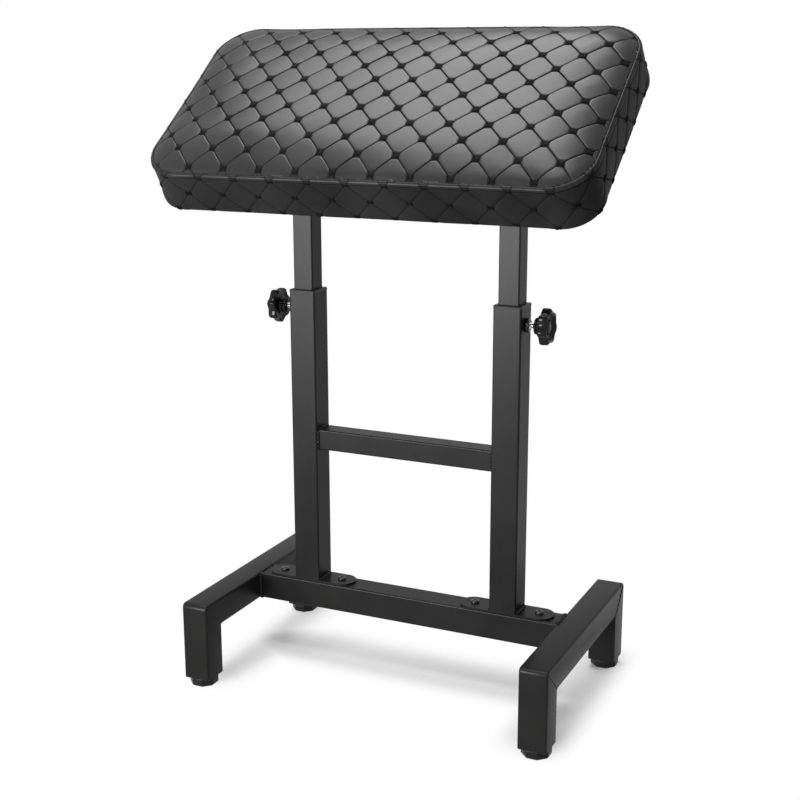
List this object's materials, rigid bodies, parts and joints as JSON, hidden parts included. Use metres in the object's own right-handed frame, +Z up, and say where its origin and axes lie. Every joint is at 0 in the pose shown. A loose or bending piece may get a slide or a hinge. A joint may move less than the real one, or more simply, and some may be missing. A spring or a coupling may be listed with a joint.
{
  "type": "tattoo arm rest stand",
  "caption": "Free-standing arm rest with a quilted padded top that tilts on sliding square posts, clamped by hand knobs over an H-shaped base on levelling feet.",
  "frame": {"origin": "on the floor, at the middle of the footprint of the whole object at rest", "axes": "+X along the long side of the pad, -Y towards the pad's low front edge, +Z up"},
  "size_m": [0.6216, 0.3546, 0.9207],
  "materials": {
    "powder_coat": "satin",
    "leatherette": "satin",
    "knob_plastic": "gloss",
    "bush_plastic": "satin",
    "black_plastic": "matte",
    "zinc_steel": "satin",
    "black_steel": "satin",
    "plywood": "matte",
    "foam": "matte",
    "dust_cloth": "matte"
  },
  "bodies": {
    "stand": {"back_left_leg_insert": "black_plastic", "back_right_leg_insert": "black_plastic", "front_left_leg_insert": "black_plastic", "front_right_leg_insert": "black_plastic", "left_clamp_nut": "black_steel", "left_flange_plate": "powder_coat", "left_foot_frame": "powder_coat", "left_guide_bush": "bush_plastic", "left_outer_tube": "powder_coat", "right_clamp_nut": "black_steel", "right_flange_plate": "powder_coat", "right_foot_frame": "powder_coat", "right_guide_bush": "bush_plastic", "right_outer_tube": "powder_coat", "base_crossbar": "powder_coat", "mid_crossbar": "powder_coat", "flange_screws": "black_steel", "weld_beads": "powder_coat"},
    "lift": {"left_glide_plug": "black_plastic", "left_inner_post": "powder_coat", "left_post_cap": "bush_plastic", "right_glide_plug": "black_plastic", "right_inner_post": "powder_coat", "right_post_cap": "bush_plastic"},
    "pad": {"left_pad_bracket": "powder_coat", "right_pad_bracket": "powder_coat", "hinge_bolts": "zinc_steel", "hinge_lock_nuts": "zinc_steel", "spacer_washers": "zinc_steel", "pad_board": "plywood", "foam_block": "foam", "dust_cloth": "dust_cloth", "quilted_cover": "leatherette"},
    "left_clamp_stud": {"left_clamp_stud": "zinc_steel"},
    "left_clamp_knob": {"left_clamp_knob": "knob_plastic"},
    "right_clamp_stud": {"right_clamp_stud": "zinc_steel"},
    "right_clamp_knob": {"right_clamp_knob": "knob_plastic"},
    "front_left_foot_stud": {"front_left_foot_stud": "zinc_steel"},
    "front_left_foot_base": {"front_left_foot_base": "black_plastic"},
    "front_right_foot_stud": {"front_right_foot_stud": "zinc_steel"},
    "front_right_foot_base": {"front_right_foot_base": "black_plastic"},
    "back_left_foot_stud": {"back_left_foot_stud": "zinc_steel"},
    "back_left_foot_base": {"back_left_foot_base": "black_plastic"},
    "back_right_foot_stud": {"back_right_foot_stud": "zinc_steel"},
    "back_right_foot_base": {"back_right_foot_base": "black_plastic"}
  },
  "joints": [
    {"name": "height_slide", "type": "slide", "parent": "stand", "child": "lift", "axis": [0, 0, 1], "range_m": [-0.15, 0.12]},
    {"name": "pad_tilt", "type": "hinge", "parent": "lift", "child": "pad", "pos_m": [0, 0.00631, 0.7474], "axis": [1, 0, 0], "range_deg": [-37.5, 37.5]},
    {"name": "left_clamp_travel", "type": "slide", "parent": "stand", "child": "left_clamp_stud", "axis": [-1, 0, 0], "range_m": [0, 0.0032]},
    {"name": "left_clamp_turn", "type": "hinge", "parent": "left_clamp_stud", "child": "left_clamp_knob", "pos_m": [-0.1975, 0.00631, 0.5335], "axis": [-1, 0, 0], "range_deg": [0, 900]},
    {"name": "right_clamp_travel", "type": "slide", "parent": "stand", "child": "right_clamp_stud", "axis": [1, 0, 0], "range_m": [0, 0.0032]},
    {"name": "right_clamp_turn", "type": "hinge", "parent": "right_clamp_stud", "child": "right_clamp_knob", "pos_m": [0.1975, 0.00631, 0.5335], "axis": [1, 0, 0], "range_deg": [0, 900]},
    {"name": "front_left_foot_travel", "type": "slide", "parent": "stand", "child": "front_left_foot_stud", "axis": [0, 0, -1], "range_m": [0, 0.0076]},
    {"name": "front_left_foot_turn", "type": "hinge", "parent": "front_left_foot_stud", "child": "front_left_foot_base", "pos_m": [-0.254, -0.14469, 0.006], "axis": [0, 0, -1], "range_deg": [0, 2160]},
    {"name": "front_right_foot_travel", "type": "slide", "parent": "stand", "child": "front_right_foot_stud", "axis": [0, 0, -1], "range_m": [0, 0.0076]},
    {"name": "front_right_foot_turn", "type": "hinge", "parent": "front_right_foot_stud", "child": "front_right_foot_base", "pos_m": [0.254, -0.14469, 0.006], "axis": [0, 0, -1], "range_deg": [0, 2160]},
    {"name": "back_left_foot_travel", "type": "slide", "parent": "stand", "child": "back_left_foot_stud", "axis": [0, 0, -1], "range_m": [0, 0.0076]},
    {"name": "back_left_foot_turn", "type": "hinge", "parent": "back_left_foot_stud", "child": "back_left_foot_base", "pos_m": [-0.254, 0.15731, 0.006], "axis": [0, 0, -1], "range_deg": [0, 2160]},
    {"name": "back_right_foot_travel", "type": "slide", "parent": "stand", "child": "back_right_foot_stud", "axis": [0, 0, -1], "range_m": [0, 0.0076]},
    {"name": "back_right_foot_turn", "type": "hinge", "parent": "back_right_foot_stud", "child": "back_right_foot_base", "pos_m": [0.254, 0.15731, 0.006], "axis": [0, 0, -1], "range_deg": [0, 2160]}
  ],
  "couplings": [
    {"joint": "left_clamp_travel", "follows": "left_clamp_turn", "m_per_rad": 0.00019894},
    {"joint": "right_clamp_travel", "follows": "right_clamp_turn", "m_per_rad": 0.00019894},
    {"joint": "front_left_foot_travel", "follows": "front_left_foot_turn", "m_per_rad": 0.00019894},
    {"joint": "front_right_foot_travel", "follows": "front_right_foot_turn", "m_per_rad": 0.00019894},
    {"joint": "back_left_foot_travel", "follows": "back_left_foot_turn", "m_per_rad": 0.00019894},
    {"joint": "back_right_foot_travel", "follows": "back_right_foot_turn", "m_per_rad": 0.00019894}
  ]
}
